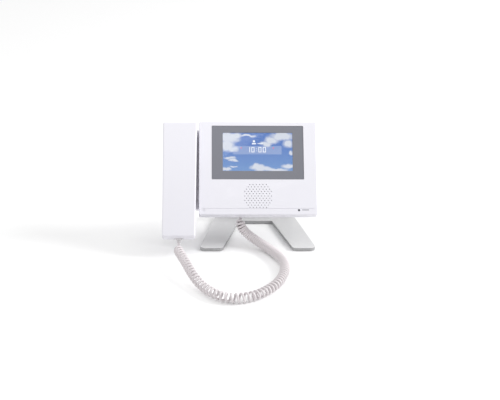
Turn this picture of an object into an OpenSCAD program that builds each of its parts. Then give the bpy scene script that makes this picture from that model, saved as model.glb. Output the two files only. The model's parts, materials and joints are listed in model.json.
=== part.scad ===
// Desk video intercom monitor with a side handset, a curly cord and a bent sheet-metal stand.
// Millimetres, +Z up, front towards -Y. The origin is on the table, under the centre of the
// object's outline without the cord.
// The monitor's own frame has x across, y into the depth from its front face and z up its face,
// with z = 0 at the bottom front edge.

/* [Monitor] */
// Width of the monitor housing
monitor_w = 161; // [150:0.5:175]
// Height of the monitor housing along its face
monitor_h = 132; // [128:0.5:140]
// Depth of the front housing
housing_d = 16; // [16:0.5:20]
// Depth of the inset rear cover
rear_d = 12; // [12:0.5:16]
// Wall thickness of the mouldings
wall = 2.4; // [2:0.1:2.6]
// Lean of the monitor back from upright, in degrees
lean = 35; // [33:0.5:38]
// Height of the bottom front edge above the table
lift = 52.3; // [50:0.1:56]

/* [Screen] */
// Width of the picture area
view_w = 95; // [90:0.1:98]
// Height of the picture area
view_h = 53.9; // [50:0.1:56]
// Height of the middle of the picture area above the bottom edge
view_z = 89.2; // [86:0.1:90]
// Width of the screen frame
bezel_w = 126; // [120:0.5:130]
// Height of the screen frame
bezel_h = 76.5; // [74:0.5:78]

/* [Speaker] */
// Rows of speaker holes
grille_rows = 11; // [7:2:11]
// Distance between rows
row_pitch = 3.2; // [3:0.1:3.3]
// Distance between holes in a row
hole_pitch = 4.5; // [4.2:0.1:4.6]
// Radius of a speaker hole
hole_r = 0.65; // [0.6:0.05:0.9]
// Height of the middle of the grille above the bottom edge
speaker_z = 26.2; // [25.5:0.1:27]

/* [Handset] */
// Length of the handset
handset_l = 160.7; // [155:0.1:165]
// Thickness of the handset
handset_t = 28; // [27:0.5:30]
// How far the handset stands in front of the monitor face
handset_proud = 12; // [10:0.5:14]
// How far the handset hangs below the monitor's bottom edge
handset_drop = 33.2; // [30:0.1:34]
// Gap between the handset and the monitor at the top
gap_top = 2.8; // [2.5:0.1:4]
// Gap between the handset and the monitor at the bottom
gap_bottom = 4.8; // [4:0.1:6]
// Travel of the hook switch plunger
plunger_travel = 3; // [2:0.5:3]

/* [Stand] */
// Thickness of the sheet
sheet = 4; // [3:0.5:4]
// Inner radius of the bends
bend_r = 4; // [3:0.5:5]
// Distance from the leg tips back to the notch's edge
notch_l = 102; // [95:0.5:104]
// Half width across the outsides of the leg tips
tip_out = 80.2; // [75:0.1:80.4]
// Half width across the insides of the leg tips
tip_in = 48.3; // [45:0.1:50]
// Half width of the notch at its back edge
notch_half = 24.2; // [22:0.1:28]
// Slope of the riser above level, in degrees
riser_rise = 75.5; // [74:0.5:77]

/* [Cord] */
// Outer diameter of the curly cord
coil_d = 14; // [13:0.5:14]
// Diameter of the cord itself
lead_d = 3; // [2.6:0.1:3.2]

/* [Hidden] */
$fn = 40;

fit = 0.2;
pad_t = 1;
tip_y = -4.1;
base_back = 124.4;
back_y = housing_d + rear_d;
rear_w = 140;
rear_h = 112;
rear_z = 66;
bracket_t = 1.5;
bracket_y = back_y + fit;
mount_y = bracket_y + bracket_t;
mount_low = 34;
mount_half = 42;

// Handset outline in the monitor's frame
handset_x0 = -129.7;
handset_x1 = -monitor_w / 2 - gap_top;
handset_x2 = -monitor_w / 2 - gap_bottom;
handset_z0 = -handset_drop;
handset_z1 = handset_z0 + handset_l;
handset_mid = -107.5;
handset_y0 = -handset_proud;
handset_seam = handset_y0 + 15;
handset_y1 = handset_y0 + handset_t;
ear_z = 103;
low_z = 26;
hook_z = 66;
mouth_z = -16;

// Cradle behind the handset
cradle_x0 = -122;
cradle_x1 = -rear_w / 2 - fit;
cradle_z0 = 12.5;
cradle_z1 = 125;
cradle_y = handset_y1 + 0.4;
side_y = 22.5;

// Places of screws and small parts in the monitor's frame
board_holes = [for (x = [-60, 60], z = [60, 116]) [x, z]];
housing_holes = [[-36, 6], [36, 6], [-66, 126.2], [66, 126.2]];
stand_holes = [for (x = [-30, 30], z = [54, 96]) [x, z]];
mic_at = [-73.5, 6.4];
lens_at = [55.4, 6.3];
bar_at = [64.2, 6.6];
jack_x = -24;
jack_y = 22;
jack_z = rear_z - rear_h / 2;

// Shift that puts the origin under the centre of the outline
front_y = -handset_drop * sin(lean) + handset_y0 * cos(lean);
shift_x = -(handset_x0 + monitor_w / 2) / 2;
shift_y = -(front_y + base_back) / 2;

// Side view of the stand, up from its back bend and down again along the back of the monitor
mid_r = bend_r + sheet / 2;
low_c = [base_back - bend_r - sheet, pad_t + sheet + bend_r];
riser_turn = 180 - riser_rise;
riser_start = low_c + mid_r * [sin(riser_rise), cos(riser_rise)];
plate_dir = [sin(lean), cos(lean)];
riser_dir = [-cos(riser_rise), sin(riser_rise)];
plate_at = [(mount_y + sheet / 2) * cos(lean), lift - (mount_y + sheet / 2) * sin(lean)];
cross_rp = riser_dir[0] * plate_dir[1] - riser_dir[1] * plate_dir[0];
to_plate = plate_at - riser_start;
riser_reach = (to_plate[0] * plate_dir[1] - to_plate[1] * plate_dir[0]) / cross_rp;
fold_turn = 90 - lean + riser_rise;
riser_len = riser_reach - mid_r * tan(fold_turn / 2);
fold_c = riser_start + riser_len * riser_dir - mid_r * [sin(riser_rise), cos(riser_rise)];
taper = (tip_out - 58) / 114.5;
rear_half = tip_out - taper * (low_c[0] - tip_y);

// Route of the coil's middle, from the handset's end to the monitor's end
coil_route = [[-83, -88, 17.5], [-81.8, -95, 17.4], [-79.6, -103, 17], [-76, -115, 16.5],
    [-71, -132, 15.5], [-66, -149, 13.5], [-60, -165, 11], [-53, -179, 8.5], [-45, -192, 7.5],
    [-36, -204, 7.5], [-26, -213, 7.5], [-14, -218, 7.5], [-1, -217.5, 7.5], [11, -213, 7.5],
    [22, -205, 7.5], [32, -194, 7.5], [41, -181, 7.5], [48, -166, 7.5], [53, -150, 7.5],
    [56.5, -133, 7.5], [57.5, -116, 7.5], [56, -100, 7.5], [51, -84, 7.5], [44, -68, 7.5],
    [36, -54, 7.7], [27, -43, 9.5], [18, -36, 13.5], [10, -33, 19], [4.5, -32.5, 25], [1.5, -33, 31],
    [0.6, -31.6, 36.5], [0.6, -29.7, 39.8]];
// Routes of the two straight ends of the cord
handset_lead_route = [[-82.9, -68.3, 19.5], [-82.9, -70.6, 16.9], [-83, -74, 15], [-83.1, -78.5, 14.6],
    [-83.2, -83, 15.5], [-83, -88, 17.5]];
base_lead_route = [[0.6, -29.7, 39.8], [0.6, -28.5, 41.5]];

// Outline with each corner rounded by its own radius
function unit(v) = v / norm(v);
function fillet(p, a, b, r) =
    let (u = unit(a - p), v = unit(b - p), half = acos(u * v) / 2)
    let (c = p + unit(u + v) * r / sin(half), s = p + u * r / tan(half) - c)
    let (way = sign(u[0] * v[1] - u[1] * v[0]), turn = -way * (180 - 2 * half))
    [for (i = [0:6]) let (t = turn * i / 6)
        c + [s[0] * cos(t) - s[1] * sin(t), s[0] * sin(t) + s[1] * cos(t)]];
function rounded(pts, radii) =
    let (n = len(pts))
    [for (i = [0:n - 1])
        each radii[i] > 0 ? fillet(pts[i], pts[(i + n - 1) % n], pts[(i + 1) % n], radii[i]) : [pts[i]]];
function box_outline(w, h, r) =
    rounded([[-w / 2, -h / 2], [w / 2, -h / 2], [w / 2, h / 2], [-w / 2, h / 2]], [r, r, r, r]);
function handset_outline(inset, r) =
    rounded([[handset_x0 + inset, handset_z0 + inset], [handset_x2 - inset, handset_z0 + inset],
        [handset_x1 - inset, handset_z1 - inset], [handset_x0 + inset, handset_z1 - inset]], [r, r, r, r]);

// Frames
module place() translate([shift_x, shift_y, 0]) children();
module on_monitor() place() translate([0, 0, lift]) rotate([-lean, 0, 0]) children();

// A flat outline in x and z, with its thickness from depth y0 to y1
module slab(y0, y1) translate([0, y1, 0]) rotate([90, 0, 0]) linear_extrude(y1 - y0) children();
module post(at, y0, y1, r) translate([at[0], y1, at[1]]) rotate([90, 0, 0]) cylinder(h = y1 - y0, r = r);
module board(at, w, h, y0, y1) translate([at[0] - w / 2, y0, at[1] - h / 2]) cube([w, y1 - y0, h]);
module rounded_board(at, w, h, y0, y1, r)
    translate([at[0], 0, at[1]]) slab(y0, y1) polygon(box_outline(w, h, r));

// A pan-head screw from depth y0, its shaft going forward to y1
module screw(at, y0, y1, r, head_r, head_h) {
    difference() {
        post(at, y0, y0 + head_h, head_r);
        board(at, head_r * 1.3, 0.6, y0 + head_h - 0.8, y0 + head_h + 1);
        board(at, 0.6, head_r * 1.3, y0 + head_h - 0.8, y0 + head_h + 1);
    }
    post(at, y1, y0 + 0.01, r);
}

// Staggered speaker holes inside an eight-sided outline
function row_half(i) = min(18.6, 21.8 - 1.6 * abs(i));
function row_holes(i) =
    let (odd = abs(i) % 2, n = floor(row_half(i) / hole_pitch - odd / 2))
    [for (k = [-n - odd:n]) [(k + odd / 2) * hole_pitch, speaker_z + i * row_pitch]];
grille_half = (grille_rows - 1) / 2;

module front_housing() color("white") on_monitor() difference() {
    union() {
        difference() {
            translate([0, 0, monitor_h / 2]) slab(0, housing_d) polygon(box_outline(monitor_w, monitor_h, 2));
            rounded_board([0, monitor_h / 2], monitor_w - 2 * wall, monitor_h - 2 * wall,
                3, housing_d + 1, 1.5);
        }
        for (at = housing_holes) post(at, 2.9, 13.6, 3.2);
        for (at = board_holes) post(at, 2.9, 6.1, 3);
        for (x = [lens_at[0] - 8.5, bar_at[0] + 8]) post([x, 6.4], 2.9, 4.6, 1.6);
    }
    rounded_board([0, view_z - 1.2], bezel_w + 2 * fit, bezel_h + 2 * fit, -1, 1.6, 1.2);
    rounded_board([0, view_z - 1.9], 107, 68.8, 1, 4, 1);
    for (i = [-grille_half:grille_half]) for (at = row_holes(i)) post(at, -1, 4, hole_r);
    for (at = housing_holes) post(at, 5, 14, 1.5);
    for (at = board_holes) post(at, 3.5, 7, 1.35);
    for (d = [[0, 0], [1.4, 0], [-1.4, 0], [0, 1.4], [0, -1.4]]) post(mic_at + d, -1, 4, 0.4);
    post(lens_at, -1, 4, 1.6);
    board(bar_at, 9.6, 1.6, -1, 4);
    board([0, 8.6], monitor_w - 8, 0.5, -1, 0.35);
}

module rear_cover() color("gainsboro") on_monitor() difference() {
    union() {
        rounded_board([0, monitor_h / 2], monitor_w - 2 * wall - 2 * fit, monitor_h - 2 * wall - 2 * fit,
            housing_d - 2, housing_d, 1.3);
        rounded_board([0, rear_z], rear_w, rear_h, housing_d - 0.5, back_y, 4);
    }
    difference() {
        rounded_board([0, rear_z], rear_w - 4, rear_h - 4, 13, back_y - 2, 2.5);
        for (at = stand_holes) post(at, 20, back_y, 4.5);
    }
    for (at = housing_holes) post(at, 13, 17, 1.7);
    for (at = stand_holes) post(at, 19, back_y + 1, 2.05);
    for (i = [0:9]) board([-36 + 8 * i, 116], 2.4, 5, back_y - 3, back_y + 1);
    board([40, 23], 31, 13, back_y - 3, back_y + 1);
    translate([jack_x - 6.6, jack_y - 4.1, jack_z - 1]) cube([13.2, 8.2, 4]);
    for (z = [40, 98]) translate([-rear_w / 2 - 1, side_y, z]) rotate([0, 90, 0]) cylinder(h = 4, r = 1.5);
    translate([-rear_w / 2 - 1, side_y, 70]) rotate([0, 90, 0]) cylinder(h = 4, r = 2.5);
}

module screen_bezel() color([0.53, 0.53, 0.57]) on_monitor() difference() {
    rounded_board([0, view_z - 1.2], bezel_w, bezel_h, 0.4, 1.6, 1);
    board([0, view_z], view_w + 0.8, view_h + 0.8, 0, 2);
}

module display_glass() color([0.1, 0.12, 0.16]) on_monitor()
    rounded_board([0, view_z - 1.9], 106, 67.8, 1.7, 2.9, 0.6);

module lcd_panel() color([0.35, 0.5, 0.75]) on_monitor()
    board([0, view_z - 1.9], 105.5, 67.2, 3.1, 6);

module lcd_bracket() color("silver") on_monitor() difference() {
    board([0, 88], 130, 68, 6.1, 7.1);
    board([0, 88], 70, 30, 5, 8);
    for (at = board_holes) post(at, 5, 8, 1.6);
}

module board_spacers() color("goldenrod") on_monitor() for (at = board_holes) difference() {
    post(at, 7.1, 10, 2.6);
    post(at, 7, 11, 1.5);
}

module main_board() color([0.05, 0.35, 0.2]) on_monitor() difference() {
    board([0, 85], 134, 74, 10, 11.6);
    for (at = board_holes) post(at, 9, 12, 1.6);
}

module board_parts() color([0.12, 0.12, 0.13]) on_monitor() {
    board([-12, 88], 18, 18, 11.6, 13.2);
    board([22, 92], 14, 11, 11.6, 12.8);
    board([22, 74], 12, 8, 11.6, 12.8);
    board([-42, 104], 12, 12, 11.6, 16);
    board([0, 116], 40, 5, 11.6, 15);
    board([30, 51], 26, 3, 11.6, 12.7);
    board([43, 60], 22, 5, 11.6, 17);
    for (i = [0:3]) post([-52 + 9 * i, 74], 11.6, 19, 3.4);
}

module board_screws() color("silver") on_monitor()
    for (at = board_holes) screw(at, 11.6, 4.2, 1.3, 2.6, 1.6);

module lcd_flex() color([0.8, 0.5, 0.1]) on_monitor() {
    board([30, 50], 24, 7.2, 5.2, 5.5);
    board([30, 46.55], 24, 0.3, 5.2, 13);
    board([30, 48.8], 24, 4.8, 12.7, 13);
}

module speaker_gasket() color([0.1, 0.1, 0.1]) on_monitor() difference() {
    post([0, speaker_z], 3.05, 4, 22.8);
    post([0, speaker_z], 3, 5, 21.4);
}

module speaker_frame() color([0.25, 0.25, 0.27]) on_monitor() difference() {
    union() {
        post([0, speaker_z], 4, 5.4, 22.8);
        post([0, speaker_z], 5.4, 8.4, 19);
    }
    post([0, speaker_z], 3, 7.2, 17.6);
    post([0, speaker_z], 6, 9, 5);
}

module speaker_cone() color([0.15, 0.15, 0.16]) on_monitor() translate([0, 7, speaker_z])
    rotate([90, 0, 0]) rotate_extrude()
        polygon([[0, 0], [5, 0], [16.8, 1.8], [16.8, 2.2], [5, 0.5], [0, 0.5]]);

module speaker_magnet() color("dimgray") on_monitor() post([0, speaker_z], 8.4, 12, 11);

module mic_boot() color([0.1, 0.1, 0.1]) on_monitor() difference() {
    post(mic_at, 3.05, 6, 3.9);
    post(mic_at, 2, 7, 3);
}

module mic_capsule() color("silver") on_monitor() post(mic_at, 3.4, 5.8, 2.95);

module status_lens() color([0.12, 0.12, 0.15]) on_monitor() {
    post(lens_at, -0.15, 3.2, 1.55);
    post(lens_at, 3.05, 3.6, 2.3);
}

module light_bar() color([0.72, 0.72, 0.75]) on_monitor() {
    board(bar_at, 9.5, 1.5, 0, 3.2);
    board(bar_at, 10.6, 2.6, 3.05, 3.6);
}

module indicator_board() color([0.05, 0.35, 0.2]) on_monitor() board([60, 6.4], 29, 6.4, 4.7, 5.9);

module line_terminals() color([0.1, 0.3, 0.18]) on_monitor() difference() {
    union() {
        board([40, 23], 30.4, 12.4, 17, back_y - 0.6);
        board([40, 23], 33, 15, 23, back_y - 2.1);
    }
    for (i = [0:5]) {
        post([27.5 + 5 * i, 25.6], back_y - 3, back_y, 1.6);
        board([27.5 + 5 * i, 19.6], 3, 2.6, back_y - 4, back_y);
    }
}

module terminal_screws() color("silver") on_monitor() for (i = [0:5]) difference() {
    post([27.5 + 5 * i, 25.6], back_y - 3, back_y - 1, 1.5);
    board([27.5 + 5 * i, 25.6], 2.4, 0.5, back_y - 1.6, back_y);
}

// A socket for the cord's plug, with its mouth at z and facing down
module jack(x, y, z) difference() {
    translate([x - 6.4, y - 3.9, z]) cube([12.8, 7.8, 15]);
    translate([x - 4, y - 3.3, z - 1]) cube([8, 6.6, 12]);
}

module base_jack() color([0.75, 0.74, 0.77]) on_monitor() jack(jack_x, jack_y, jack_z);

module housing_screws() color("silver") on_monitor()
    for (at = housing_holes) screw(at, housing_d, 6, 1.45, 2.8, 1.8);

module cradle_part(y0, y1, inset)
    rounded_board([(cradle_x0 + cradle_x1) / 2, (cradle_z0 + cradle_z1) / 2],
        cradle_x1 - cradle_x0 - 2 * inset, cradle_z1 - cradle_z0 - 2 * inset, y0, y1, 1);

module cradle_shell() color([0.8, 0.79, 0.84]) on_monitor() difference() {
    union() {
        cradle_part(cradle_y, back_y, 0);
        post([handset_mid, ear_z], cradle_y - 3.2, cradle_y + 0.1, 12.8);
        board([handset_mid, low_z], 16, 8, cradle_y - 2.3, cradle_y + 0.1);
    }
    cradle_part(cradle_y + 2, back_y + 1, 2);
    post([handset_mid, hook_z], cradle_y - 1, cradle_y + 3, 4.06);
    for (z = [40, 98]) translate([cradle_x1 - 3, side_y, z]) rotate([0, 90, 0]) cylinder(h = 4, r = 1.6);
    translate([cradle_x1 - 3, side_y, 70]) rotate([0, 90, 0]) cylinder(h = 4, r = 2.5);
}

module cradle_back() color([0.76, 0.75, 0.8]) on_monitor() cradle_part(back_y - 1.8, back_y, 2.2);

module cradle_screws() color("silver") on_monitor() for (z = [40, 98])
    translate([cradle_x1 - 4, side_y, z]) rotate([0, 90, 0]) {
        cylinder(h = 2, r = 2.7);
        translate([0, 0, 1.9]) cylinder(h = 6.5, r = 1.4);
    }

module hook_switch() color([0.15, 0.15, 0.16]) on_monitor()
    board([handset_mid, hook_z], 14, 14, 23.9, back_y - 1.9);

module hook_plunger() color([0.85, 0.85, 0.87]) on_monitor() {
    post([handset_mid, hook_z], cradle_y - 0.1, cradle_y + 5.3, 4);
    post([handset_mid, hook_z], cradle_y + 5.2, cradle_y + 6.4, 5.5);
    post([handset_mid, hook_z], cradle_y + 6.3, cradle_y + 7.2, 2);
}

module wall_bracket() color("silver") on_monitor() difference() {
    rounded_board([0, 74], 96, 76, bracket_y, mount_y, 3);
    rounded_board([0, 74], 34, 26, bracket_y - 1, mount_y + 1, 4);
    for (at = stand_holes) post(at, bracket_y - 1, mount_y + 1, 2.25);
}

// The sheet's side view as one outline, its bends made of short flats
function arc(c, r, from, turn) =
    [for (i = [0:12]) c + r * [cos(from + turn * i / 12), sin(from + turn * i / 12)]];
function along(z) = plate_at + z * plate_dir;
out = sheet / 2 * [cos(lean), -sin(lean)];
module stand_side() translate([-monitor_w / 2, 0, 0]) rotate([90, 0, 90])
    linear_extrude(monitor_w) polygon(concat(
        [[tip_y, pad_t]],
        arc(low_c, bend_r + sheet, -90, riser_turn),
        arc(fold_c, bend_r + sheet, 90 - riser_rise, fold_turn),
        [along(mount_low) - out, along(mount_low) + out],
        arc(fold_c, bend_r, 180 - lean, -fold_turn),
        arc(low_c, bend_r, riser_turn - 90, -riser_turn),
        [[tip_y, pad_t + sheet]]));

// Prisms seen from above and from the front that give the sheet its outline
module stand_plan() linear_extrude(pad_t + sheet + 0.6) polygon(rounded(
    [[-rear_half, 130], [-rear_half, low_c[0]], [-tip_out, tip_y - 0.01], [-tip_in, tip_y - 0.01],
    [-notch_half, tip_y + notch_l], [notch_half, tip_y + notch_l], [tip_in, tip_y - 0.01],
    [tip_out, tip_y - 0.01], [rear_half, low_c[0]], [rear_half, 130]], [0, 0, 7, 5, 1, 1, 5, 7, 0, 0]));
module stand_front() translate([0, 140, 0]) rotate([90, 0, 0]) linear_extrude(160) polygon(
    [[-rear_half, pad_t + sheet + 0.5], [rear_half, pad_t + sheet + 0.5], [rear_half, 17],
    [mount_half, 118], [mount_half, 150], [-mount_half, 150], [-mount_half, 118], [-rear_half, 17]]);
module riser_window() translate([0, 140, 71]) rotate([90, 0, 0]) linear_extrude(50)
    polygon(rounded([[-40, -35], [40, -35], [36, 35], [-36, 35]], [8, 8, 8, 8]));

module stand_frame() color([0.8, 0.8, 0.8]) difference() {
    place() difference() {
        intersection() {
            stand_side();
            union() {
                stand_plan();
                stand_front();
            }
        }
        riser_window();
    }
    on_monitor() for (at = stand_holes) post(at, mount_y - 1, mount_y + sheet + 1, 2.25);
}

module stand_screws() color("silver") on_monitor()
    for (at = stand_holes) screw(at, mount_y + sheet, 20.5, 2, 3.8, 2.4);

module stand_pads() color([0.15, 0.15, 0.15]) place()
    for (s = [-1, 1]) for (p = [[62, 8], [55, 60], [50, 98]])
        translate([s * p[0], p[1], 0]) cylinder(h = pad_t, r = 5);

// Opening in both halves of the handset for the cord's socket
module handset_jack_space() translate([handset_mid - 6.6, -2.1, handset_z0 - 1]) cube([13.2, 8.2, 16.3]);

module handset_front() color("white") on_monitor() difference() {
    union() {
        difference() {
            slab(handset_y0, handset_seam) polygon(handset_outline(0, 2.5));
            slab(handset_y0 + 2.2, handset_seam + 1) polygon(handset_outline(2.2, 1.5));
        }
        for (z = [78, 0]) post([handset_mid, z], handset_y0 + 2.1, handset_seam, 3.4);
    }
    for (z = [78, 0]) post([handset_mid, z], handset_y0 + 5, handset_seam + 1, 1.3);
    handset_jack_space();
}

module handset_back() color("white") on_monitor() difference() {
    union() {
        difference() {
            hull() {
                slab(handset_seam + fit, handset_seam + 3) polygon(handset_outline(0.1, 2.5));
                slab(handset_y1 - 0.5, handset_y1) polygon(handset_outline(4.5, 4));
            }
            slab(handset_seam, handset_y1 - 2.2) polygon(handset_outline(6.5, 2));
        }
        post([handset_mid, ear_z], handset_y1 - 5.5, handset_y1 - 0.1, 16.5);
        board([handset_mid, low_z], 23, 15, handset_y1 - 4.5, handset_y1 - 0.1);
        for (z = [78, 0]) post([handset_mid, z], handset_seam + 0.4, handset_y1 - 0.5, 4.6);
    }
    post([handset_mid, ear_z], handset_y1 - 3.5, handset_y1 + 1, 14.5);
    board([handset_mid, low_z], 19, 11, handset_y1 - 2.5, handset_y1 + 1);
    for (i = [0:6]) post([handset_mid, ear_z] + (i == 0 ? [0, 0] : 5 * [cos(60 * i), sin(60 * i)]),
        handset_y1 - 7, handset_y1, 0.9);
    for (x = [-3, 0, 3]) post([handset_mid + x, mouth_z], handset_y1 - 4, handset_y1 + 1, 0.7);
    for (z = [78, 0]) {
        post([handset_mid, z], handset_seam - 1, handset_y1 + 1, 1.7);
        post([handset_mid, z], handset_y1 - 4, handset_y1 + 1, 3.2);
    }
    handset_jack_space();
}

module earpiece() color([0.2, 0.2, 0.22]) on_monitor() difference() {
    post([handset_mid, ear_z], 1.6, handset_y1 - 6.1, 13);
    post([handset_mid, ear_z], handset_y1 - 6.8, handset_y1 - 5, 9);
}

module earpiece_gasket() color([0.1, 0.1, 0.1]) on_monitor() difference() {
    post([handset_mid, ear_z], handset_y1 - 6.1, handset_y1 - 5.5, 13);
    post([handset_mid, ear_z], handset_y1 - 7, handset_y1 - 5, 9);
}

module handset_mic() color("silver") on_monitor() post([handset_mid, mouth_z], 9.6, 13, 4.8);

module handset_mic_boot() color([0.1, 0.1, 0.1]) on_monitor() difference() {
    post([handset_mid, mouth_z], 8.6, handset_y1 - 2.25, 6);
    post([handset_mid, mouth_z], 9.6, handset_y1, 4.85);
}

module handset_weight() color("dimgray") on_monitor() board([handset_mid, 40], 26, 56, handset_y0 + 2.3, -2);

module handset_jack() color([0.75, 0.74, 0.77]) on_monitor() jack(handset_mid, 2, handset_z0);

module handset_screws() color("silver") on_monitor()
    for (z = [78, 0]) screw([handset_mid, z], handset_y1 - 4, handset_y0 + 7, 1.25, 2.9, 1.8);

// The cord's plug, its clear body up in the socket and its sleeve below
module plug(x, y, z, out) {
    translate([x - 3.8, y - 3.1, z - 1.5]) cube([7.6, 6.2, 12]);
    translate([x, y, z - out]) cylinder(h = out - 1.4, r1 = 2.3, r2 = 3);
}

module plug_handset() color([0.9, 0.9, 0.88]) on_monitor() plug(handset_mid, 2, handset_z0, 5);

module plug_base() color([0.9, 0.9, 0.88]) on_monitor() plug(jack_x, jack_y, jack_z, 7.5);

// A tube along a route: one ring of points at each place, square to the run there
function heading(pts, i) = unit(pts[min(i + 1, len(pts) - 1)] - pts[max(i - 1, 0)]);
function ring(p, d, r, n) =
    let (s = unit(cross(d, abs(d[2]) < 0.9 ? [0, 0, 1] : [0, 1, 0])), u = cross(s, d))
    [for (k = [0:n - 1]) let (a = 360 * k / n) p + r * (cos(a) * s + sin(a) * u)];
module tube(pts, r, n) {
    last = len(pts) - 1;
    polyhedron([for (i = [0:last]) each ring(pts[i], heading(pts, i), r, n)], concat(
        [[for (k = [n - 1:-1:0]) k]],
        [for (i = [0:last - 1]) for (k = [0:n - 1])
            [i * n + k, i * n + (k + 1) % n, (i + 1) * n + (k + 1) % n, (i + 1) * n + k]],
        [[for (k = [0:n - 1]) last * n + k]]));
}

module lead_handset() color([0.93, 0.91, 0.91]) tube(handset_lead_route, lead_d / 2, 8);

module cord_coil() color([0.93, 0.9, 0.91]) tube(coil_route, coil_d / 2, 12);

module lead_base() color([0.93, 0.91, 0.91]) tube(base_lead_route, lead_d / 2, 8);

front_housing();
rear_cover();
screen_bezel();
display_glass();
lcd_panel();
lcd_bracket();
board_spacers();
main_board();
board_parts();
board_screws();
lcd_flex();
speaker_gasket();
speaker_frame();
speaker_cone();
speaker_magnet();
mic_boot();
mic_capsule();
status_lens();
light_bar();
indicator_board();
line_terminals();
terminal_screws();
base_jack();
housing_screws();
cradle_shell();
cradle_back();
cradle_screws();
hook_switch();
hook_plunger();
wall_bracket();
stand_frame();
stand_screws();
stand_pads();
handset_front();
handset_back();
earpiece();
earpiece_gasket();
handset_mic();
handset_mic_boot();
handset_weight();
handset_jack();
handset_screws();
plug_handset();
plug_base();
lead_handset();
cord_coil();
lead_base();
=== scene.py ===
"""Looks for a desk video intercom monitor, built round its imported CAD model.

Metres, +Z up, front towards -Y. Shapes of the monitor are drawn in millimetres in the monitor's
own frame, with x across, y into its depth and z up its face, and set in place with one matrix.
"""

import json
import math

import bmesh
import bpy
from mathutils import Matrix, Vector


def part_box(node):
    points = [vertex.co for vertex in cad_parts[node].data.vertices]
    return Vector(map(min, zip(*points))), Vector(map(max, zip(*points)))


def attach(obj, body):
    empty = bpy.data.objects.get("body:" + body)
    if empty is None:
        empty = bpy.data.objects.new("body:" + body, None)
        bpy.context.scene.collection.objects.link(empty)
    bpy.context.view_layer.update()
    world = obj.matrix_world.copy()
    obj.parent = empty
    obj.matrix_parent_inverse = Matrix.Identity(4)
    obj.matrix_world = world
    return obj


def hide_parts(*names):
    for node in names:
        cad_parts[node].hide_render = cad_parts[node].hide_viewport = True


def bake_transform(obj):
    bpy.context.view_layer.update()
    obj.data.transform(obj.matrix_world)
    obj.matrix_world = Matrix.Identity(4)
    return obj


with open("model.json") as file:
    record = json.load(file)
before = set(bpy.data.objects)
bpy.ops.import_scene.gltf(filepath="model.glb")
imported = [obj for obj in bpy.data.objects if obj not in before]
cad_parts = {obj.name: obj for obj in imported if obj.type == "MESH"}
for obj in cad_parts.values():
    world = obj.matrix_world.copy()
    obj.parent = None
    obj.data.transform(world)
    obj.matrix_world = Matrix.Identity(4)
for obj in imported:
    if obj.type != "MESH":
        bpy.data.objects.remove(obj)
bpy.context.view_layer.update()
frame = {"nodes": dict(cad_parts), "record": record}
MM = 0.001
LEAN = math.radians(35)

# ---------------------------------------------------------------- frames
housing_lo, housing_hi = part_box("front_housing")
HOUSING_D = 16
MONITOR = Matrix.Translation(
    (
        (housing_lo[0] + housing_hi[0]) / 2,
        housing_lo[1],
        housing_lo[2] + HOUSING_D * MM * math.sin(LEAN),
    )
) @ Matrix.Rotation(-LEAN, 4, "X")

# ---------------------------------------------------------------- camera
CAMERA_AT = (-0.0445, -1.6173, 0.6566)
CAMERA_RIGHT = Vector((0.99941, -0.03185, 0.01293))
CAMERA_UP = Vector((-0.00103, 0.34833, 0.93737))
camera_data = bpy.data.cameras.new("camera")
camera = bpy.data.objects.new("camera", camera_data)
bpy.context.scene.collection.objects.link(camera)
back = CAMERA_RIGHT.cross(CAMERA_UP).normalized()
rotation = Matrix((CAMERA_RIGHT, CAMERA_UP, back)).transposed().to_4x4()
camera.matrix_world = Matrix.Translation(CAMERA_AT) @ rotation
camera_data.sensor_width = 36
camera_data.lens = 89.42
camera_data.clip_start = 0.05
camera_data.clip_end = 60
bpy.context.scene.camera = camera


# ---------------------------------------------------------------- mesh helpers
def add_object(name, mesh, matrix=None):
    obj = bpy.data.objects.new(name, mesh)
    bpy.context.scene.collection.objects.link(obj)
    obj.matrix_world = MONITOR if matrix is None else matrix
    return obj


def mesh_from(name, bm):
    bmesh.ops.recalc_face_normals(bm, faces=bm.faces)
    mesh = bpy.data.meshes.new(name)
    bm.to_mesh(mesh)
    bm.free()
    return mesh


def unit(v):
    length = math.hypot(*v)
    return (v[0] / length, v[1] / length)


def offset_polygon(points, inset):
    """The outline's edges moved inwards; points run anticlockwise."""
    moved = []
    count = len(points)
    for i in range(count):
        before, here, after = points[i - 1], points[i], points[(i + 1) % count]
        a = unit((here[0] - before[0], here[1] - before[1]))
        b = unit((after[0] - here[0], after[1] - here[1]))
        na, nb = (-a[1], a[0]), (-b[1], b[0])
        scale = inset / (1 + na[0] * nb[0] + na[1] * nb[1])
        moved.append(
            (here[0] + (na[0] + nb[0]) * scale, here[1] + (na[1] + nb[1]) * scale)
        )
    return moved


def rounded(points, radius, steps=6):
    """The outline with each corner rounded."""
    out = []
    count = len(points)
    for i in range(count):
        here = Vector(points[i])
        u = (Vector(points[i - 1]) - here).normalized()
        v = (Vector(points[(i + 1) % count]) - here).normalized()
        half = u.angle(v) / 2
        centre = here + (u + v).normalized() * radius / math.sin(half)
        start = here + u * radius / math.tan(half) - centre
        end = here + v * radius / math.tan(half) - centre
        turn = math.atan2(
            start.x * end.y - start.y * end.x, start.x * end.x + start.y * end.y
        )
        for k in range(steps + 1):
            a = turn * k / steps
            out.append(
                (
                    centre.x + start.x * math.cos(a) - start.y * math.sin(a),
                    centre.y + start.x * math.sin(a) + start.y * math.cos(a),
                )
            )
    return out


def box_points(x0, x1, z0, z1):
    return [(x0, z0), (x1, z0), (x1, z1), (x0, z1)]


def outline_ring(points, radius, inset, y):
    corners = rounded(offset_polygon(points, inset), max(radius - inset, 0.35))
    return [Vector((x, y, z)) * MM for x, z in corners]


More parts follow.
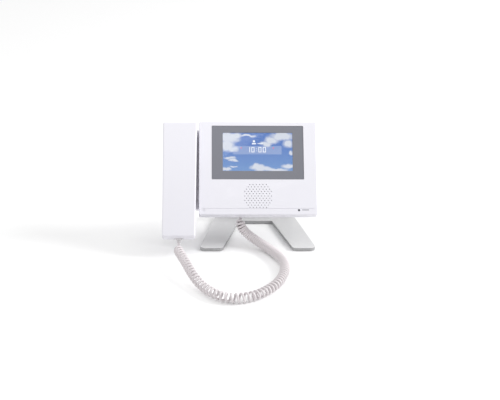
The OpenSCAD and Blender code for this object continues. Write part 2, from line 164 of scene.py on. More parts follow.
def loft(name, rings, closed=False):
    """A solid through rings of points, capped at both ends or joined end to end."""
    bm = bmesh.new()
    made = [[bm.verts.new(p) for p in ring] for ring in rings]
    pairs = list(zip(made, made[1:]))
    if closed:
        pairs.append((made[-1], made[0]))
    else:
        bm.faces.new(made[0])
        bm.faces.new(reversed(made[-1]))
    for low, high in pairs:
        count = len(low)
        for i in range(count):
            j = (i + 1) % count
            bm.faces.new((low[i], high[i], high[j], low[j]))
    return mesh_from(name, bm)


def slab_mesh(name, points, radius, profile):
    """An outline lofted through a profile of (inset, depth) pairs."""
    return loft(name, [outline_ring(points, radius, i, y) for i, y in profile])


def fillet(inset, y, size, way=1, steps=4):
    """Profile points that round an edge between the face at depth y and the side.

    way is 1 from a front face and -1 to a back face.
    """
    points = []
    for k in range(steps + 1):
        a = math.pi / 2 * k / steps
        points.append(
            (inset + size * (1 - math.sin(a)), y + way * size * (1 - math.cos(a)))
        )
    return points if way == 1 else points[::-1]


def lathe(profile, at, steps=24, axis="Y"):
    """Rings of a turned shape from (radius, depth) pairs, along the depth, across or up."""
    rings = []
    for r, d in profile:
        ring = []
        for k in range(steps):
            a = 2 * math.pi * k / steps
            c, s = r * math.cos(a), r * math.sin(a)
            spot = {"Y": (c, d, s), "X": (d, c, s), "Z": (c, s, d)}[axis]
            ring.append((Vector(at) + Vector(spot)) * MM)
        rings.append(ring)
    return rings


def joined(name, parts):
    """One mesh from several lists of rings."""
    bm = bmesh.new()
    for rings in parts:
        made = [[bm.verts.new(p) for p in ring] for ring in rings]
        bm.faces.new(made[0])
        bm.faces.new(reversed(made[-1]))
        for low, high in zip(made, made[1:]):
            count = len(low)
            for i in range(count):
                j = (i + 1) % count
                bm.faces.new((low[i], high[i], high[j], low[j]))
    return mesh_from(name, bm)


def box_rings(x0, x1, y0, y1, z0, z1):
    corners = box_points(x0, x1, z0, z1)
    return [[Vector((x, y, z)) * MM for x, z in corners] for y in (y0, y1)]


def settle(obj):
    """Applies the object's modifiers to its mesh."""
    bpy.context.view_layer.update()
    graph = bpy.context.evaluated_depsgraph_get()
    old = obj.data
    obj.data = bpy.data.meshes.new_from_object(obj.evaluated_get(graph))
    obj.modifiers.clear()
    bpy.data.meshes.remove(old)


def combine(obj, mesh, operation):
    other = add_object("tool", mesh, obj.matrix_world.copy())
    modifier = obj.modifiers.new("join", "BOOLEAN")
    modifier.operation = operation
    modifier.solver = "EXACT"
    modifier.object = other
    settle(obj)
    bpy.data.objects.remove(other)


def cut(obj, parts):
    combine(obj, joined("cutter", parts), "DIFFERENCE")


def smooth(obj, angle=32):
    """Smooth shading that keeps edges sharper than the angle."""
    for polygon in obj.data.polygons:
        polygon.use_smooth = True
    obj.data.set_sharp_from_angle(angle=math.radians(angle))
    modifier = obj.modifiers.new("normals", "WEIGHTED_NORMAL")
    modifier.keep_sharp = True
    modifier.weight = 90


def finish_piece(obj, body, nodes, paint, angle=32):
    """Smooth and paint a new piece, hang it on the body it rides on, and hide the CAD nodes it
    replaces.
    """
    smooth(obj, angle)
    obj.data.materials.clear()
    obj.data.materials.append(paint)
    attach(obj, body)
    if nodes:
        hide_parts(*nodes)


# ---------------------------------------------------------------- cord
COIL_ROUTE = [
    (-83, -88, 17.5), (-81.8, -95, 17.4), (-79.6, -103, 17), (-76, -115, 16.5), (-71, -132, 15.5),
    (-66, -149, 13.5), (-60, -165, 11), (-53, -179, 8.5), (-45, -192, 7.5), (-36, -204, 7.5),
    (-26, -213, 7.5), (-14, -218, 7.5), (-1, -217.5, 7.5), (11, -213, 7.5), (22, -205, 7.5),
    (32, -194, 7.5), (41, -181, 7.5), (48, -166, 7.5), (53, -150, 7.5), (56.5, -133, 7.5),
    (57.5, -116, 7.5), (56, -100, 7.5), (51, -84, 7.5), (44, -68, 7.5), (36, -54, 7.7),
    (27, -43, 9.5), (18, -36, 13.5), (10, -33, 19), (4.5, -32.5, 25), (1.5, -33, 31),
    (0.6, -31.6, 36.5), (0.6, -29.7, 39.8),
]
HANDSET_LEAD = [
    (-82.9, -68.3, 19.5), (-82.9, -70.6, 16.9), (-83, -74, 15), (-83.1, -78.5, 14.6),
    (-83.2, -83, 15.5),
]
BASE_LEAD = [(0.6, -28.5, 41.5)]
WIRE_R = 1.5
HELIX_R = 5.1
# Distance between turns at places along the cord, both in millimetres
PITCHES = [
    (0, 6.9), (60, 6.8), (150, 6.9), (235, 6.5), (300, 5.1), (350, 4.1), (400, 3.5), (440, 3.2),
]
STEP = 0.2
# Route length over which the coil opens from the straight wire to its full width
RAMP = 8.0
# Straight wire left before the coil at the handset, and after it at the monitor
STRAIGHT_AT_HANDSET = 15.0
STRAIGHT_AT_BASE = 0.6
FIRST_TURN = 0.6 * math.pi
# Unevenness of the turns along the cord: size in radians, wavelength and phase
WANDER = ((0.35, 17.0, 0.0), (0.25, 7.3, 1.0))


def curve_through(points, step):
    """Points a step apart on a smooth curve through the given ones."""
    p = [Vector(q) for q in points]
    p = [2 * p[0] - p[1]] + p + [2 * p[-1] - p[-2]]
    fine = []
    for i in range(1, len(p) - 2):
        for k in range(16):
            t = k / 16
            fine.append(
                0.5
                * (
                    2 * p[i]
                    + (p[i + 1] - p[i - 1]) * t
                    + (2 * p[i - 1] - 5 * p[i] + 4 * p[i + 1] - p[i + 2]) * t * t
                    + (3 * p[i] - p[i - 1] - 3 * p[i + 1] + p[i + 2]) * t**3
                )
            )
    fine.append(p[-2])
    lengths = [0.0]
    for a, b in zip(fine, fine[1:]):
        lengths.append(lengths[-1] + (b - a).length)
    count = round(lengths[-1] / step)
    out = []
    j = 0
    for k in range(count + 1):
        s = lengths[-1] * k / count
        while j < len(fine) - 2 and lengths[j + 1] < s:
            j += 1
        t = (s - lengths[j]) / (lengths[j + 1] - lengths[j])
        out.append(fine[j].lerp(fine[j + 1], t))
    return out, lengths[-1]


def carried_frames(line):
    """A side vector at each point of the line, carried along it without twist."""
    side = Vector((0, 0, 1))
    frames = []
    for i in range(len(line)):
        heading = (line[min(i + 1, len(line) - 1)] - line[max(i - 1, 0)]).normalized()
        side = (side - heading * side.dot(heading)).normalized()
        frames.append((heading, side, heading.cross(side)))
    return frames


def tube_mesh(name, line, radius, sides=12):
    rings = []
    for point, (_, side, other) in zip(line, carried_frames(line)):
        ring = []
        for k in range(sides):
            a = 2 * math.pi * k / sides
            ring.append(
                (point + radius * (math.cos(a) * side + math.sin(a) * other)) * MM
            )
        rings.append(ring)
    return loft(name, rings)


def pitch_at(s):
    """Distance between turns at a place along the cord."""
    for (s0, p0), (s1, p1) in zip(PITCHES, PITCHES[1:]):
        if s < s1:
            return p0 + (p1 - p0) * (s - s0) / (s1 - s0)
    return PITCHES[-1][1]


def wire_line():
    """The wire's centre: straight lead, helix along the coil's route, straight lead."""
    centre, whole = curve_through(HANDSET_LEAD + COIL_ROUTE + BASE_LEAD, STEP)
    start, end = STRAIGHT_AT_HANDSET, whole - STRAIGHT_AT_BASE
    turn = FIRST_TURN
    line = []
    for i, (_, side, other) in enumerate(carried_frames(centre)):
        s = i * STEP
        reach = max(0.0, min(1.0, (s - start) / RAMP, (end - s) / RAMP))
        opened = reach * reach * (3 - 2 * reach)
        spread = HELIX_R * opened
        turn += 2 * math.pi * STEP * opened / pitch_at(s)
        wander = sum(size * math.sin(s / wave + phase) for size, wave, phase in WANDER)
        around = math.cos(turn + wander) * side + math.sin(turn + wander) * other
        line.append(centre[i] + spread * around)
    return line


wire = wire_line()
cord = add_object("cord", tube_mesh("cord", wire, WIRE_R), Matrix.Identity(4))
for polygon in cord.data.polygons:
    polygon.use_smooth = len(polygon.vertices) == 4


# ---------------------------------------------------------------- materials
def node_tree(name):
    paint = bpy.data.materials.new(name)
    paint.use_nodes = True
    tree = paint.node_tree
    return paint, tree, tree.nodes["Principled BSDF"]


def link(tree, out, into):
    tree.links.new(out, into)


def ramp(tree, fac, low, high, colour_low, colour_high):
    made = tree.nodes.new("ShaderNodeMapRange")
    made.data_type = "FLOAT_VECTOR" if isinstance(colour_low, tuple) else "FLOAT"
    if isinstance(colour_low, tuple):
        made.inputs[7].default_value = (low,) * 3
        made.inputs[8].default_value = (high,) * 3
        made.inputs[9].default_value = colour_low
        made.inputs[10].default_value = colour_high
        link(tree, fac, made.inputs[6])
        return made.outputs[1]
    made.inputs[1].default_value = low
    made.inputs[2].default_value = high
    made.inputs[3].default_value = colour_low
    made.inputs[4].default_value = colour_high
    link(tree, fac, made.inputs[0])
    return made.outputs[0]


def noise(tree, scale, detail=3.0, stretch=None):
    """Noise on the object's own place, with scale in turns per metre."""
    coords = tree.nodes.new("ShaderNodeTexCoord")
    made = tree.nodes.new("ShaderNodeTexNoise")
    made.inputs["Scale"].default_value = scale
    made.inputs["Detail"].default_value = detail
    made.inputs["Roughness"].default_value = 0.5
    source = coords.outputs["Object"]
    if stretch:
        mapping = tree.nodes.new("ShaderNodeMapping")
        mapping.inputs["Scale"].default_value = stretch
        link(tree, source, mapping.inputs["Vector"])
        source = mapping.outputs["Vector"]
    link(tree, source, made.inputs["Vector"])
    return made.outputs["Fac"]


def tinted(colour, factor):
    return tuple(min(1.0, c * factor) for c in colour)


def surface(
    name,
    colour,
    rough=0.45,
    metal=0.0,
    grain=2500.0,
    depth=0.01,
    strength=0.15,
    vary=0.04,
    rough_vary=0.06,
    wear=0.05,
    coat=0.0,
    sheen=0.0,
    specular=0.5,
    stretch=None,
):
    """A moulded, painted or plain metal finish.

    It has colour variation, roughness variation, a fine bumped grain and worn edges.
    """
    paint, tree, shader = node_tree(name)
    broad = noise(tree, 14.0, 3.0)
    fine = noise(tree, grain, 2.0, stretch)
    base = ramp(tree, broad, 0.3, 0.7, tinted(colour, 1 - vary), tinted(colour, 1 + vary * 0.4))
    geometry = tree.nodes.new("ShaderNodeNewGeometry")
    edge = ramp(tree, geometry.outputs["Pointiness"], 0.52, 0.62, 0.0, wear)
    scuff = noise(tree, 90.0, 4.0)
    patch = ramp(tree, scuff, 0.45, 0.65, 0.3, 1.0)
    product = tree.nodes.new("ShaderNodeMath")
    product.operation = "MULTIPLY"
    link(tree, edge, product.inputs[0])
    link(tree, patch, product.inputs[1])
    worn = tree.nodes.new("ShaderNodeMix")
    worn.data_type = "RGBA"
    link(tree, product.outputs[0], worn.inputs[0])
    link(tree, base, worn.inputs[6])
    worn.inputs[7].default_value = (*tinted(colour, 1.12), 1)
    link(tree, worn.outputs[2], shader.inputs["Base Color"])
    rough_noise = noise(tree, 60.0, 4.0)
    link(
        tree,
        ramp(tree, rough_noise, 0.3, 0.7, rough - rough_vary, rough + rough_vary),
        shader.inputs["Roughness"],
    )
    bump = tree.nodes.new("ShaderNodeBump")
    bump.inputs["Strength"].default_value = strength
    bump.inputs["Distance"].default_value = depth * MM
    link(tree, fine, bump.inputs["Height"])
    link(tree, bump.outputs["Normal"], shader.inputs["Normal"])
    shader.inputs["Metallic"].default_value = metal
    shader.inputs["Specular IOR Level"].default_value = specular
    shader.inputs["Coat Weight"].default_value = coat
    shader.inputs["Sheen Weight"].default_value = sheen
    return paint


def vector_math(tree, operation, a, b):
    made = tree.nodes.new("ShaderNodeVectorMath")
    made.operation = operation
    for socket, value in zip(made.inputs, (a, b)):
        if isinstance(value, (tuple, Vector)):
            socket.default_value = value
        elif value is not None:
            link(tree, value, socket)
    return made.outputs["Value" if operation == "LENGTH" else "Vector"]


def number_math(tree, operation, a, b):
    made = tree.nodes.new("ShaderNodeMath")
    made.operation = operation
    for socket, value in zip(made.inputs, (a, b)):
        if isinstance(value, (int, float)):
            socket.default_value = value
        else:
            link(tree, value, socket)
    return made.outputs[0]


def mixed(tree, fac, a, b):
    made = tree.nodes.new("ShaderNodeMix")
    made.data_type = "RGBA"
    link(tree, fac, made.inputs[0])
    for socket, value in ((made.inputs[6], a), (made.inputs[7], b)):
        if isinstance(value, tuple):
            socket.default_value = (*value, 1)
        else:
            link(tree, value, socket)
    return made.outputs[2]


def shade_sheet_edges(paint, colour, skin):
    """Painted shade on the coated sheet: its sides, and upright faces of the part on the table, are
    darkened.
    """
    faces_sideways, faces_upright = 0.75, 0.35
    tree = paint.node_tree
    shader = tree.nodes["Principled BSDF"]
    geometry = tree.nodes.new("ShaderNodeNewGeometry")
    facing = tree.nodes.new("ShaderNodeSeparateXYZ")
    link(tree, geometry.outputs["True Normal"], facing.inputs[0])
    place = tree.nodes.new("ShaderNodeSeparateXYZ")
    link(tree, geometry.outputs["Position"], place.inputs[0])
    across = number_math(tree, "ABSOLUTE", facing.outputs[0], 0)
    sideways = number_math(tree, "GREATER_THAN", across, faces_sideways)
    upwards = number_math(tree, "ABSOLUTE", facing.outputs[2], 0)
    upright = number_math(tree, "LESS_THAN", upwards, faces_upright)
    low = number_math(tree, "LESS_THAN", place.outputs[2], skin)
    # Mask of the faces that get the painted shade: sheet sides, and upright faces near the table
    edge_shade_mask = number_math(tree, "MAXIMUM", sideways, number_math(tree, "MULTIPLY", upright, low))
    painted = shader.inputs["Base Color"].links[0].from_socket
    uneven = ramp(tree, noise(tree, 700.0), 0.3, 0.7, tinted(colour, 0.85), tinted(colour, 1.1))
    # The darker, uneven grey mixed in here is painted shade, not bare metal
    link(tree, mixed(tree, edge_shade_mask, painted, uneven), shader.inputs["Base Color"])


white = surface(
    "white_plastic", (0.726, 0.719, 0.768), 0.42, grain=3500, depth=0.02, strength=0.25,
    vary=0.012, wear=0.3,
)
rear_white = surface(
    "rear_plastic", (0.70, 0.69, 0.74), 0.55, grain=2200, depth=0.05, strength=0.4, vary=0.02,
    wear=0.3,
)
cradle_grey = surface(
    "cradle_plastic", (0.86, 0.84, 0.90), 0.55, grain=2200, depth=0.04, strength=0.35, vary=0.03,
    wear=0.3,
)
bezel_grey = surface(
    "bezel_lacquer", (0.172, 0.176, 0.203), 0.38, grain=4000, depth=0.01, strength=0.2, vary=0.03,
    wear=0.5,
)
steel = surface(
    "plated_steel", (0.62, 0.62, 0.63), 0.32, metal=1.0, grain=900, depth=0.01, strength=0.2,
    vary=0.06, stretch=(1, 8, 1),
)
stand_paint = surface(
    "stand_coat", (0.66, 0.66, 0.665), 0.42, grain=1600, depth=0.03, strength=0.35, vary=0.03,
    wear=0.4,
)
# On its pads the sheet's top is 5 mm above the table, so this height takes all of it in
SHEET_TOP = 0.0051
# Painted shade: this darker grey goes on the stand sheet's sides and low upright faces
shade_sheet_edges(stand_paint, (0.37, 0.37, 0.375), SHEET_TOP)
brass = surface("brass", (0.72, 0.53, 0.24), 0.3, metal=1.0, grain=1200, strength=0.15)
circuit = surface(
    "solder_mask", (0.02, 0.2, 0.09), 0.35, grain=500, depth=0.05, strength=0.4, vary=0.15,
)
part_black = surface(
    "black_moulding", (0.03, 0.03, 0.034), 0.5, grain=1500, depth=0.03, strength=0.3, vary=0.1,
)
flex = surface("polyimide", (0.45, 0.22, 0.04), 0.35, grain=400, strength=0.2, vary=0.1)
rubber = surface(
    "rubber", (0.035, 0.035, 0.037), 0.8, grain=1800, depth=0.04, strength=0.4, vary=0.15,
    specular=0.3,
)
magnet = surface("plated_magnet", (0.3, 0.3, 0.31), 0.35, metal=1.0, grain=900, strength=0.2)
lens = surface(
    "smoked_lens", (0.03, 0.03, 0.045), 0.12, grain=300, strength=0.05, rough_vary=0.03, coat=0.6,
)
bar = surface("light_bar", (0.38, 0.38, 0.42), 0.3, grain=600, strength=0.1, coat=0.3)
acetal = surface("acetal", (0.75, 0.75, 0.77), 0.35, grain=1500, strength=0.2)
socket_white = surface("socket_plastic", (0.62, 0.61, 0.64), 0.45, grain=1500, strength=0.2)
plug_paint = surface("plug_plastic", (0.74, 0.72, 0.73), 0.25, grain=800, strength=0.15, coat=0.4)
jacket = surface(
    "cord_jacket", (0.66, 0.62, 0.633), 0.42, grain=1400, depth=0.03, strength=0.3, vary=0.03,
    rough_vary=0.08, wear=0.0, sheen=0.1,
)


def glow(name, colour, strength):
    """A lit mark on the screen, a little uneven like a backlight."""
    paint, tree, shader = node_tree(name)
    uneven = ramp(tree, noise(tree, 300.0), 0.3, 0.7, tinted(colour, 0.94), colour)
    link(tree, uneven, shader.inputs["Emission Color"])
    link(tree, ramp(tree, noise(tree, 200.0), 0.3, 0.7, 0.3, 0.4), shader.inputs["Roughness"])
    shader.inputs["Emission Strength"].default_value = strength
    shader.inputs["Base Color"].default_value = (0.05, 0.05, 0.05, 1)
    return paint


screen_white = glow("screen_white", (0.93, 0.95, 1.0), 1.0)
screen_red = glow("screen_red", (0.80, 0.16, 0.30), 1.0)
clear_glass = surface(
    "screen_glass", (0.95, 0.96, 0.97), 0.04, grain=300, depth=0.002, strength=0.05, vary=0.01,
    rough_vary=0.02,
)
clear_glass.node_tree.nodes["Principled BSDF"].inputs["Transmission Weight"].default_value = 1.0


# Clouds of the picture: place across and up, half width and half height in millimetres
CLOUDS = [
    (-40, 110, 16, 9), (-43, 99, 12, 10), (-34, 93, 9, 5), (-32, 113, 10, 5), (34, 112, 17, 7),
    (20, 106, 11, 6), (12, 101, 10, 3.5), (42, 101, 8, 6), (0, 67, 11, 4.5), (6, 65, 14, 3.5),
    (-3, 70, 4.5, 4), (43, 69, 12, 3.4), (22, 63.5, 22, 2.6), (-38, 80.5, 9, 1.8),
    (-33, 77.5, 8, 1.5), (-34, 68.5, 6, 1.4), (-43, 64.5, 8, 2.2), (45, 88, 3, 3),
    (-14, 113, 12, 2),
]


def sky_picture():
    """The lit picture: blue sky with clouds, and a pale band behind the clock."""
    paint, tree, shader = node_tree("sky_picture")
    coords = tree.nodes.new("ShaderNodeTexCoord").outputs["Object"]
    flat = vector_math(tree, "MULTIPLY", coords, (1000, 0, 1000))
    drift = tree.nodes.new("ShaderNodeTexNoise")
    drift.inputs["Scale"].default_value = 110.0
    drift.inputs["Detail"].default_value = 5.0
    link(tree, coords, drift.inputs["Vector"])
    shifted = vector_math(tree, "SUBTRACT", drift.outputs["Color"], (0.5, 0.5, 0.5))
    spot = vector_math(tree, "ADD", flat, vector_math(tree, "MULTIPLY", shifted, (9, 0, 9)))
    cover = None
    for x, z, wide, high in CLOUDS:
        off = vector_math(tree, "SUBTRACT", spot, (x, 0, z))
        far = vector_math(tree, "LENGTH", vector_math(tree, "DIVIDE", off, (wide, 1, high)), None)
        here = ramp(tree, far, 1.15, 0.55, 0.0, 1.0)
        cover = here if cover is None else number_math(tree, "MAXIMUM", cover, here)
    parts = tree.nodes.new("ShaderNodeSeparateXYZ")
    link(tree, flat, parts.inputs[0])
    height = ramp(tree, parts.outputs[2], 62, 100, 0.0, 1.0)
    sky = mixed(tree, height, (0.17, 0.33, 0.66), (0.09, 0.21, 0.58))
    cloudy = mixed(tree, cover, sky, (0.74, 0.78, 0.87))
    from_middle = number_math(tree, "ADD", parts.outputs[0], 0.5)
    across = number_math(tree, "ABSOLUTE", from_middle, 0)
    from_band = number_math(tree, "SUBTRACT", parts.outputs[2], 92.0)
    up = number_math(tree, "ABSOLUTE", from_band, 0)
    in_width = number_math(tree, "LESS_THAN", across, 33.5)
    in_height = number_math(tree, "LESS_THAN", up, 6.0)
    inside = number_math(tree, "MULTIPLY", in_width, in_height)
    banded = mixed(tree, number_math(tree, "MULTIPLY", inside, 0.36), cloudy, (0.60, 0.68, 0.88))
    link(tree, banded, shader.inputs["Emission Color"])
    shader.inputs["Emission Strength"].default_value = 0.95
    shader.inputs["Base Color"].default_value = (0.02, 0.02, 0.03, 1)
    shader.inputs["Specular IOR Level"].default_value = 0.0
    link(tree, ramp(tree, noise(tree, 400.0), 0.3, 0.7, 0.3, 0.45), shader.inputs["Roughness"])
    return paint


# Paints of the carried-over CAD nodes, by the record's material slot
BY_SLOT = {
    "shell_white": white, "rear_white": rear_white, "cradle_grey": cradle_grey,
    "bezel_grey": bezel_grey, "display": lens, "lcd": lens, "steel": steel,
    "stand_metal": stand_paint, "stand_screw_steel": steel, "brass": brass,
    "circuit_green": circuit, "part_black": part_black, "socket_white": socket_white,
    "flex": flex, "speaker_black": part_black, "magnet": magnet, "rubber_black": rubber,
    "lens_dark": lens, "bar_grey": bar, "plunger": acetal, "plug_clear": plug_paint,
    "cord_white": jacket,
}
for part in frame["record"]["subparts"]:
    node = frame["nodes"][part["node"]]
    node.data.materials.clear()
    node.data.materials.append(BY_SLOT[part["material_slot"]])

cord.data.materials.append(jacket)
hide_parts("cord_coil", "lead_handset", "lead_base")
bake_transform(cord)


# ---------------------------------------------------------------- monitor shells
def post(x, z, y0, y1, radius, steps=24):
    return lathe([(radius, y0), (radius, y1)], (x, 0, z), steps)


def slab(x0, x1, z0, z1, y0, y1, radius):
    points = box_points(x0, x1, z0, z1)
    return [outline_ring(points, radius, 0, y) for y in (y0, y1)]


def row_holes():
    """Staggered speaker holes inside an eight-sided outline."""
    spots = []
    for i in range(-5, 6):
        odd = abs(i) % 2
        half = min(18.6, 21.8 - 1.6 * abs(i))
        n = math.floor(half / 4.5 - odd / 2)
        for k in range(-n - odd, n + 1):
            spots.append(((k + odd / 2) * 4.5, SPEAKER_Z + i * 3.2))
    return spots


MONITOR_W = 161
MONITOR_H = 132
VIEW_Z = 89.2
SPEAKER_Z = 26.2
STATUS_AT = (55.4, 0, 6.3)
MIC_AT = (-73.5, 6.4)
STAND_HOLES = [(x, z) for x in (-30, 30) for z in (54, 96)]
front_profile = fillet(0, 0, 0.9) + [(0, 8), (0, 15.6), (0.12, 15.88), (0.4, 16)]
front_profile += [(2.2, 16), (2.4, 15.8), (2.4, 3)]
face = box_points(-MONITOR_W / 2, MONITOR_W / 2, 0, MONITOR_H)
front = add_object("monitor_front", slab_mesh("monitor_front", face, 2.5, front_profile))
cut(front, [slab(-63.2, 63.2, 49.55, 126.45, -1, 1.6, 1.2)])
cut(front, [slab(-53.5, 53.5, 52.9, 121.7, 1, 4, 1)])
speaker_hole = [(0.95, -0.3), (0.65, 0.15), (0.65, 4)]
cut(front, [lathe(speaker_hole, (x, 0, z), 12) for x, z in row_holes()])
mic_holes = ((0, 0), (1.4, 0), (-1.4, 0), (0, 1.4), (0, -1.4))
small = [post(MIC_AT[0] + dx, MIC_AT[1] + dz, -1, 4, 0.4, 10) for dx, dz in mic_holes]
small += [lathe([(1.9, -0.3), (1.6, 0.15), (1.6, 4)], STATUS_AT)]
small += [box_rings(59.4, 69, -1, 4, 5.8, 7.4)]
cut(front, small)
cut(front, [box_rings(-76.5, 76.5, -1, 0.35, 8.35, 8.85)])
finish_piece(front, "base", ["front_housing"], white)

rear_profile = [(0, 15.5), (0, 20)] + fillet(0, 28, 1.6, -1)
rear_mesh = slab_mesh("monitor_rear", box_points(-70, 70, 10, 122), 4, rear_profile)
rear = add_object("monitor_rear", rear_mesh)
flange_profile = [(0, 14), (0, 15.7), (0.3, 16)]
flange = slab_mesh("flange", box_points(-77.9, 77.9, 2.6, 129.4), 1.3, flange_profile)
combine(rear, flange, "UNION")
cut(rear, [slab(-68, 68, 12, 120, 13, 26, 2.5)])
combine(rear, joined("bosses", [post(x, z, 20, 26.3, 4.5) for x, z in STAND_HOLES]), "UNION")
housing_screws = ((-36, 6), (36, 6), (-66, 126.2), (66, 126.2))
openings = [post(x, z, 13, 17, 1.7) for x, z in housing_screws]
openings += [post(x, z, 19, 29, 2.05) for x, z in STAND_HOLES]
openings += [slab(-37.2 + 8 * i, -34.8 + 8 * i, 113.5, 118.5, 25, 29, 1.1) for i in range(10)]
openings += [slab(24.5, 55.5, 16.5, 29.5, 25, 29, 0.6), box_rings(-30.6, -17.4, 17.9, 26.1, 9, 13)]
side_holes = ((40, 1.5), (98, 1.5), (70, 2.5))
openings += [lathe([(r, -71), (r, -67)], (0, 22.5, z), 24, "X") for z, r in side_holes]
cut(rear, openings)
finish_piece(rear, "base", ["rear_cover"], rear_white)

# ---------------------------------------------------------------- screen
outer = [(0.0, 1.5), (0.0, 0.75), (0.1, 0.5), (0.35, 0.4)]
inner = [(-0.5, 0.4), (-0.15, 0.5), (0.0, 0.8), (0.0, 1.5)]
window = box_points(-47.9, 47.9, VIEW_Z - 27.35, VIEW_Z + 27.35)
bezel_rings = [outline_ring(box_points(-63, 63, 49.75, 126.25), 1, i, y) for i, y in outer]
bezel_rings += [outline_ring(window, 0.8, i, y) for i, y in inner]
bezel = add_object("screen_frame", loft("screen_frame", bezel_rings, closed=True))
finish_piece(bezel, "base", ["screen_bezel"], bezel_grey, 25)

glass_profile = [(0.2, 1.7), (0, 1.9), (0, 2.7), (0.2, 2.9)]
glass_mesh = slab_mesh("screen_glass", box_points(-53, 53, 53.4, 121.2), 0.6, glass_profile)
glass = add_object("screen_glass", glass_mesh)
finish_piece(glass, "base", ["display_glass"], clear_glass)
panel_profile = [(0, 3.1), (0, 5.7), (0.3, 6)]
panel_mesh = slab_mesh("screen_picture", box_points(-52.75, 52.75, 53.7, 120.9), 0.6, panel_profile)
picture = add_object("screen_picture", panel_mesh)
finish_piece(picture, "base", ["lcd_panel"], sky_picture())


# Depths between which the marks on the lit picture stand
MARK_Y = (2.95, 3.12)


def disc(radius, x, z, steps):
    """A flat round or many-sided mark on the picture."""
    return lathe([(radius, y) for y in MARK_Y], (x, 0, z), steps)


def digit(x, kind):
    """The strokes of a clock digit as boxes."""
    low, high, half, pen = 88.9, 96.5, 2.1, 1.0
    if kind == ":":
        return [box_rings(x - 0.5, x + 0.5, *MARK_Y, z - 0.5, z + 0.5) for z in (91.2, 94.2)]
    strokes = [box_rings(x + half - pen, x + half, *MARK_Y, low, high)]
    if kind == "0":
        strokes.append(box_rings(x - half, x - half + pen, *MARK_Y, low, high))
        for z in (low, high - pen):
            strokes.append(box_rings(x - half + pen, x + half - pen, *MARK_Y, z, z + pen))
    return strokes


strokes = []
for x, kind in ((-12.5, "1"), (-6.4, "0"), (-1.6, ":"), (3.2, "0"), (9.3, "0")):
    strokes += digit(x, kind)
strokes += [disc(1.7, -5, 104.8, 20), box_rings(-7.8, -2.2, *MARK_Y, 100.4, 102.3)]
strokes += [box_rings(0, 7.5, *MARK_Y, 101.2, 102.1)]
clock = add_object("screen_digits", joined("screen_digits", strokes))
finish_piece(clock, "base", [], screen_white)
marks = joined("screen_marks", [disc(1.2, x, 95.2, 4) for x in (-22.6, 21.7)])
finish_piece(add_object("screen_marks", marks), "base", [], screen_red)

dome = [(0.7, -0.15), (1.3, -0.08), (1.55, 0.1), (1.55, 3.1), (2.3, 3.1), (2.3, 3.6)]
status = add_object("status_light", joined("status_light", [lathe(dome, STATUS_AT, 28)]))
finish_piece(status, "base", ["status_lens"], lens)

# ---------------------------------------------------------------- cradle
HANDSET_MID = -107.5
EAR_Z = 103
LOW_Z = 26
HOOK_Z = 66
cradle_profile = fillet(0, 16.4, 0.8) + [(0, 22), (0, 27.7), (0.3, 28)]
cradle_mesh = slab_mesh("cradle_body", box_points(-122, -70.2, 12.5, 125), 1.2, cradle_profile)
cradle = add_object("cradle_body", cradle_mesh)
cut(cradle, [slab(-120, -72.2, 14.5, 123, 18.4, 29, 0.8)])
ear_rest = [(11.6, 13.2), (12.4, 13.5), (12.8, 14.2), (12.8, 16.9)]
raised = [lathe(ear_rest, (HANDSET_MID, 0, EAR_Z), 40)]
raised += [slab(HANDSET_MID - 8, HANDSET_MID + 8, LOW_Z - 4, LOW_Z + 4, 14.1, 16.9, 1)]
combine(cradle, joined("raised", raised), "UNION")
through = [post(HANDSET_MID, HOOK_Z, 15, 19.4, 4.06, 32)]
cradle_holes = ((40, 1.6), (98, 1.6), (70, 2.5))
through += [lathe([(r, -73.2), (r, -69)], (0, 22.5, z), 24, "X") for z, r in cradle_holes]
cut(cradle, through)
finish_piece(cradle, "base", ["cradle_shell"], cradle_grey)

# ---------------------------------------------------------------- handset
HANDSET = [(-129.7, -33.2), (-85.3, -33.2), (-83.3, 127.5), (-129.7, 127.5)]
MOUTH_Z = -16
SCREW_Z = (78, 0)


shell_profile = fillet(0, -12, 1.8, steps=6) + [(0, -2), (0, 2.6), (0.35, 3)]
shell_profile += [(1.9, 3), (2.2, 2.7), (2.2, -9.8)]
handset_front = add_object("handset_outer", slab_mesh("handset_outer", HANDSET, 2.5, shell_profile))
screw_posts = [post(HANDSET_MID, z, -9.9, 2.9, 3.4) for z in SCREW_Z]
combine(handset_front, joined("posts", screw_posts), "UNION")
jack_space = box_rings(HANDSET_MID - 6.6, HANDSET_MID + 6.6, -2.1, 6.1, -34.2, -17.9)
cut(handset_front, [post(HANDSET_MID, z, -7, 4, 1.3) for z in SCREW_Z] + [jack_space])
finish_piece(handset_front, "handset", ["handset_front"], white)

taper = [(0.4, 3.2), (0.1, 3.5), (0.1, 6.0), (4.3, 15.3), (4.6, 15.75), (5.1, 16)]
handset_back = add_object("handset_inner", slab_mesh("handset_inner", HANDSET, 2.5, taper))
cut(handset_back, [[outline_ring(HANDSET, 2.5, 6.5, y) for y in (2, 13.8)]])
bosses = [post(HANDSET_MID, EAR_Z, 10.5, 14, 16.5, 40)]
bosses += [box_rings(-119, -96, 11.5, 14, LOW_Z - 7.5, LOW_Z + 7.5)]
bosses += [post(HANDSET_MID, z, 3.4, 14, 4.6) for z in SCREW_Z]
combine(handset_back, joined("bosses", bosses), "UNION")
ear_cup = lathe([(14.5, 12.5), (14.5, 15.5), (15.1, 16.2)], (HANDSET_MID, 0, EAR_Z), 48)
low_cup = slab(HANDSET_MID - 9.5, HANDSET_MID + 9.5, LOW_Z - 5.5, LOW_Z + 5.5, 13.5, 17, 1)
well = [(3.2, 12), (3.2, 15.7), (3.6, 16.2)]
wells = [lathe(well, (HANDSET_MID, 0, z)) for z in SCREW_Z]
cut(handset_back, [ear_cup, low_cup, jack_space] + wells)
ear_holes = [(5 * math.cos(k * math.pi / 3), 5 * math.sin(k * math.pi / 3)) for k in range(6)]
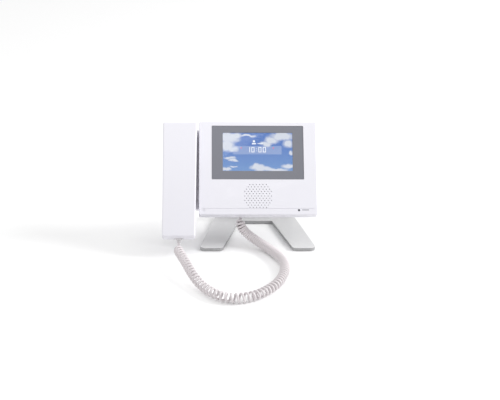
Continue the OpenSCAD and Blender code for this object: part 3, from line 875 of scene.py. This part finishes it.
ear_holes += [(0, 0)]
drilled = [post(HANDSET_MID + dx, EAR_Z + dz, 9, 13, 0.9, 14) for dx, dz in ear_holes]
drilled += [post(HANDSET_MID + dx, MOUTH_Z, 12, 17, 0.7, 12) for dx in (-3, 0, 3)]
drilled += [post(HANDSET_MID, z, 2, 13, 1.7) for z in SCREW_Z]
cut(handset_back, drilled)
finish_piece(handset_back, "handset", ["handset_back"], white)


# ---------------------------------------------------------------- plugs
def plug(name, node, body, x, y, z, out):
    """A cord plug: its clear body in the socket, and a ribbed sleeve that narrows to the cord."""
    sleeve = [(3.0, z - 1.4), (3.0, z - 1.9)]
    for k in range(3):
        deep = z - 2.2 - k * (out - 3) / 3
        wide = 2.95 - 0.2 * k
        sleeve += [(wide - 0.3, deep), (wide - 0.3, deep - 0.2)]
        sleeve += [(wide, deep - 0.35), (wide, deep - 0.6)]
    sleeve += [(2.3, z - out)]
    clip = box_rings(x - 3.8, x + 3.8, y - 3.1, y + 3.1, z - 1.4, z + 10.5)
    parts = [lathe(sleeve, (x, y, 0), 24, "Z"), clip]
    made = add_object(name, joined(name, parts))
    finish_piece(made, body, [node], plug_paint)


plug("plug_in_handset", "plug_handset", "handset", HANDSET_MID, 2, -33.2, 5)
plug("plug_in_base", "plug_base", "base", -24, 22, 10, 7.5)


# ---------------------------------------------------------------- metalwork edges
def dress(name, width):
    """Flat faces merged and edges eased on a carried-over node."""
    node = frame["nodes"][name]
    flat = node.modifiers.new("flat", "DECIMATE")
    flat.decimate_type = "DISSOLVE"
    flat.angle_limit = math.radians(1)
    edge = node.modifiers.new("edge", "BEVEL")
    edge.width = width * MM
    edge.segments = 2
    edge.limit_method = "ANGLE"
    edge.angle_limit = math.radians(40)


dress("stand_frame", 0.5)
dress("wall_bracket", 0.25)
dress("light_bar", 0.15)
dress("stand_pads", 0.2)
dress("cradle_back", 0.2)

# ---------------------------------------------------------------- stage and light
FLOOR_HALF = 20
floor_mesh = bpy.data.meshes.new("floor")
floor_signs = ((-1, -1), (1, -1), (1, 1), (-1, 1))
floor_corners = [(x * FLOOR_HALF, y * FLOOR_HALF, 0) for x, y in floor_signs]
floor_mesh.from_pydata(floor_corners, [], [(0, 1, 2, 3)])
floor = add_object("floor", floor_mesh, Matrix.Identity(4))
floor_paint, _, floor_shader = node_tree("floor_paint")
floor_shader.inputs["Base Color"].default_value = (0.95, 0.95, 0.95, 1)
floor_shader.inputs["Roughness"].default_value = 0.9
floor_shader.inputs["Specular IOR Level"].default_value = 0.1
floor_mesh.materials.append(floor_paint)

world = bpy.data.worlds.new("studio")
world.use_nodes = True
soft_white = world.node_tree.nodes["Background"]
soft_white.inputs["Color"].default_value = (1, 1, 1, 1)
soft_white.inputs["Strength"].default_value = 0.86
bpy.context.scene.world = world


LIGHTS_AIM_AT = (0, -0.03, 0.06)


def area_light(name, toward, distance, size, power):
    """A square white light a distance away towards a direction, facing the object."""
    data = bpy.data.lights.new(name, "AREA")
    data.shape = "SQUARE"
    data.size = size
    data.energy = power
    lamp = bpy.data.objects.new(name, data)
    bpy.context.scene.collection.objects.link(lamp)
    direction = Vector(toward).normalized()
    lamp.location = Vector(LIGHTS_AIM_AT) + direction * distance
    lamp.rotation_mode = "QUATERNION"
    lamp.rotation_quaternion = direction.to_track_quat("Z", "Y")


area_light("key", (0.9, -0.02, 0.50), 3.5, 1.3, 80)
area_light("top", (-0.08, -0.05, 1.0), 0.42, 0.4, 0.37)

bpy.context.scene.view_settings.view_transform = "Standard"
